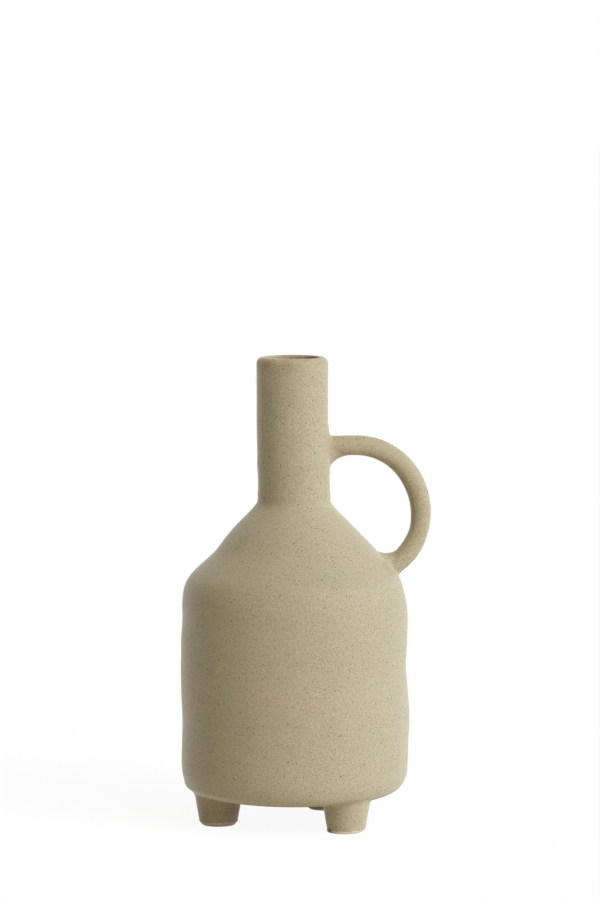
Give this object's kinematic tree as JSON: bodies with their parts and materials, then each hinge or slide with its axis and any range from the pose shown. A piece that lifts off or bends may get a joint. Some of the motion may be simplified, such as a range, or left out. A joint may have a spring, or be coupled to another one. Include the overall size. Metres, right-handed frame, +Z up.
{
  "type": "bottle vase",
  "caption": "Matte speckled stoneware bottle vase: cylindrical belly on peg feet, sloping shoulder, straight open neck and a round ring handle.",
  "frame": {"origin": "on the ground, under the middle of the bounding box; the vase's own upright axis stands 8.1 mm to the -X side", "axes": "+Z up out of the mouth, +X towards the handle"},
  "size_m": [0.1628, 0.1466, 0.3],
  "materials": {
    "stoneware": "matte"
  },
  "bodies": {
    "root": {"floor": "stoneware", "belly": "stoneware", "shoulder": "stoneware", "neck": "stoneware", "handle": "stoneware", "foot_left": "stoneware", "foot_front": "stoneware", "foot_rear": "stoneware"}
  },
  "joints": []
}
